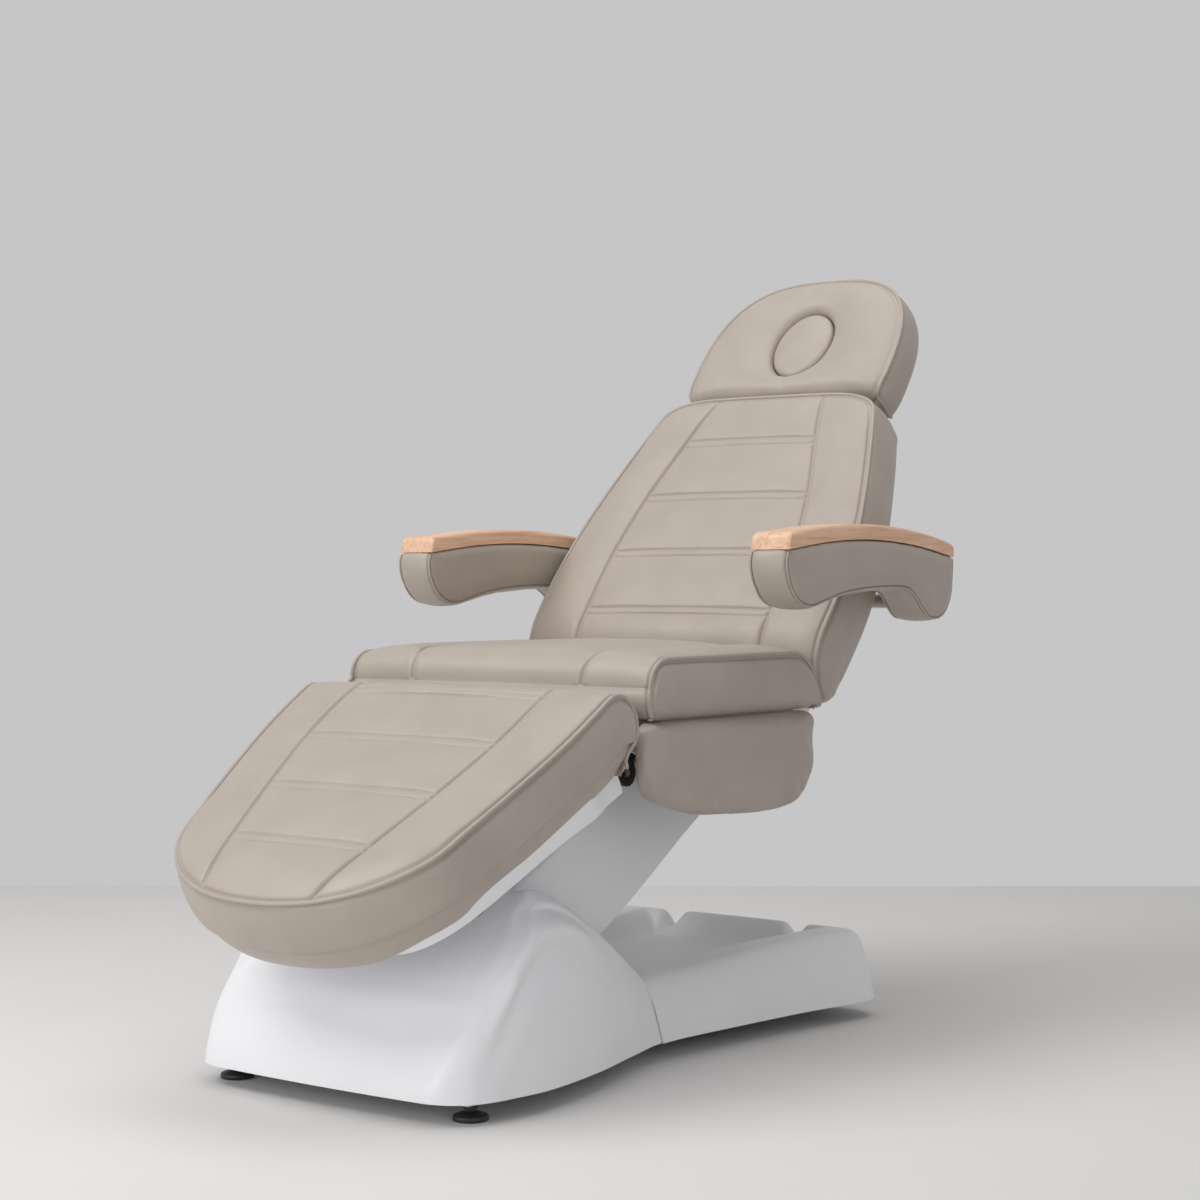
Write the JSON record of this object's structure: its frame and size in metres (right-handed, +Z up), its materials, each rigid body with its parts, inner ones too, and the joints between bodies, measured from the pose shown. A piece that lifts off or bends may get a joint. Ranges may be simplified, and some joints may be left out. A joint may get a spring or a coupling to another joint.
{
  "type": "electric beauty bed",
  "caption": "Electric beauty bed with a white moulded lifting base, taupe piped cushions, a sloped leg rest, a raised backrest, a headrest with a face hole and beech armrests.",
  "frame": {"origin": "on the floor, under the middle of the bed's bounding box at rest", "axes": "+Y from the foot end to the head end, +X to the right seen from the foot end, +Z up"},
  "size_m": [0.786, 1.5498, 1.2871],
  "materials": {
    "leather": "soft satin",
    "white_moulding": "satin",
    "white_steel": "satin",
    "black_steel": "satin",
    "bare_steel": "brushed",
    "beech": "oiled",
    "plywood": "raw",
    "black_plastic": "matte"
  },
  "bodies": {
    "base": {"base_front_cover": "white_moulding", "base_rear_cover": "white_moulding", "base_beam_front": "white_steel", "base_beam_rear": "white_steel", "base_rail_left": "white_steel", "base_rail_right": "white_steel", "pivot_plate": "white_steel", "pivot_bracket_left": "white_steel", "pivot_bracket_right": "white_steel", "arm_lower_shaft": "bare_steel", "control_box": "black_plastic", "rear_cover_bracket": "white_steel"},
    "foot_front_left": {"levelling_foot_front_left": "black_plastic"},
    "foot_front_right": {"levelling_foot_front_right": "black_plastic"},
    "foot_rear_left": {"levelling_foot_rear_left": "black_plastic"},
    "foot_rear_right": {"levelling_foot_rear_right": "black_plastic"},
    "lift_arm": {"lift_arm_beam_left": "white_steel", "lift_arm_beam_right": "white_steel", "lift_arm_cross_tube": "white_steel", "lift_arm_cover": "white_moulding"},
    "level_link": {"level_link": "black_steel"},
    "lift_actuator": {"lift_actuator_housing": "black_plastic"},
    "lift_rod": {"lift_actuator_rod": "bare_steel"},
    "seat": {"seat_side_rail_left": "white_steel", "seat_side_rail_right": "white_steel", "seat_cross_front": "white_steel", "seat_cross_rear": "white_steel", "seat_bracket_left": "white_steel", "seat_bracket_right": "white_steel", "arm_upper_shaft": "bare_steel", "leg_hinge_rod": "bare_steel", "back_hinge_rod": "bare_steel", "seat_board": "plywood", "seat_cushion": "leather", "side_cushion_left": "leather", "side_cushion_right": "leather", "back_actuator_housing": "black_plastic", "leg_actuator_housing": "black_plastic"},
    "leg_rest": {"leg_cushion": "leather", "leg_board": "plywood", "leg_pan": "white_moulding", "leg_hinge_plate_left": "black_steel", "leg_hinge_plate_right": "black_steel"},
    "leg_rod": {"leg_actuator_rod": "bare_steel"},
    "backrest": {"back_cushion": "leather", "back_board": "plywood", "back_hinge_plate_left": "white_steel", "back_hinge_plate_right": "white_steel", "armrest_axle": "bare_steel", "headrest_bracket": "white_steel", "headrest_hinge_rod": "bare_steel"},
    "back_rod": {"back_actuator_rod": "bare_steel"},
    "headrest": {"headrest_cushion": "leather", "headrest_board": "plywood", "headrest_arm": "white_steel"},
    "plug": {"face_plug": "leather"},
    "armrest_left": {"armrest_pad_left": "leather", "armrest_wood_left": "beech"},
    "armrest_right": {"armrest_pad_right": "leather", "armrest_wood_right": "beech"}
  },
  "joints": [
    {"name": "lift", "type": "hinge", "parent": "base", "child": "lift_arm", "pos_m": [0, -0.338, 0.19], "axis": [1, 0, 0], "range_deg": [0, 38]},
    {"name": "seat_level", "type": "hinge", "parent": "lift_arm", "child": "seat", "pos_m": [0, 0.10198, 0.43088], "axis": [1, 0, 0], "range_deg": [-38.2, 0.2]},
    {"name": "link_swing", "type": "hinge", "parent": "base", "child": "level_link", "pos_m": [0, -0.338, 0.25], "axis": [1, 0, 0], "range_deg": [-0.2, 38.2]},
    {"name": "lift_actuator_swing", "type": "hinge", "parent": "base", "child": "lift_actuator", "pos_m": [0, -0.238, 0.095], "axis": [1, 0, 0], "range_deg": [-0.2, 34.9]},
    {"name": "lift_rod_slide", "type": "slide", "parent": "lift_actuator", "child": "lift_rod", "axis": [0, 0.7131, 0.701], "range_m": [-0.0005, 0.0872]},
    {"name": "leg_raise", "type": "hinge", "parent": "seat", "child": "leg_rest", "pos_m": [0, -0.24202, 0.51188], "axis": [-1, 0, 0], "range_deg": [0, 32.5]},
    {"name": "leg_rod_slide", "type": "slide", "parent": "seat", "child": "leg_rod", "axis": [0, -1, 0], "range_m": [-0.0003, 0.0365]},
    {"name": "back_recline", "type": "hinge", "parent": "seat", "child": "backrest", "pos_m": [0, 0.23878, 0.51488], "axis": [-1, 0, 0], "range_deg": [0, 52.7]},
    {"name": "back_rod_slide", "type": "slide", "parent": "seat", "child": "back_rod", "axis": [0, -1, 0], "range_m": [-0.0003, 0.0648]},
    {"name": "headrest_tilt", "type": "hinge", "parent": "backrest", "child": "headrest", "pos_m": [0, 0.61146, 1.0041], "axis": [-1, 0, 0], "range_deg": [0, 40]},
    {"name": "face_plug_pull", "type": "slide", "parent": "headrest", "child": "plug", "axis": [0, -0.7955, 0.606], "range_m": [0, 0.12]},
    {"name": "armrest_left_swing", "type": "hinge", "parent": "backrest", "child": "armrest_left", "pos_m": [0, 0.41717, 0.69955], "axis": [-1, 0, 0], "range_deg": [-50, 85]},
    {"name": "armrest_right_swing", "type": "hinge", "parent": "backrest", "child": "armrest_right", "pos_m": [0, 0.41717, 0.69955], "axis": [-1, 0, 0], "range_deg": [-50, 85]},
    {"name": "foot_front_left_screw", "type": "hinge", "parent": "base", "child": "foot_front_left", "pos_m": [-0.226, -0.576, 0.012], "axis": [0, 0, 1], "continuous": true},
    {"name": "foot_front_right_screw", "type": "hinge", "parent": "base", "child": "foot_front_right", "pos_m": [0.226, -0.576, 0.012], "axis": [0, 0, 1], "continuous": true},
    {"name": "foot_rear_left_screw", "type": "hinge", "parent": "base", "child": "foot_rear_left", "pos_m": [-0.15, 0.397, 0.012], "axis": [0, 0, 1], "continuous": true},
    {"name": "foot_rear_right_screw", "type": "hinge", "parent": "base", "child": "foot_rear_right", "pos_m": [0.15, 0.397, 0.012], "axis": [0, 0, 1], "continuous": true}
  ],
  "couplings": [
    {"joint": "seat_level", "follows": "lift", "ratio": -1},
    {"joint": "link_swing", "follows": "lift", "ratio": 1},
    {"joint": "lift_actuator_swing", "follows": "lift", "ratio": 0.9134},
    {"joint": "lift_rod_slide", "follows": "lift", "m_per_rad": 0.13061},
    {"joint": "leg_rod_slide", "follows": "leg_raise", "m_per_rad": 0.0637},
    {"joint": "back_rod_slide", "follows": "back_recline", "m_per_rad": 0.070007}
  ]
}
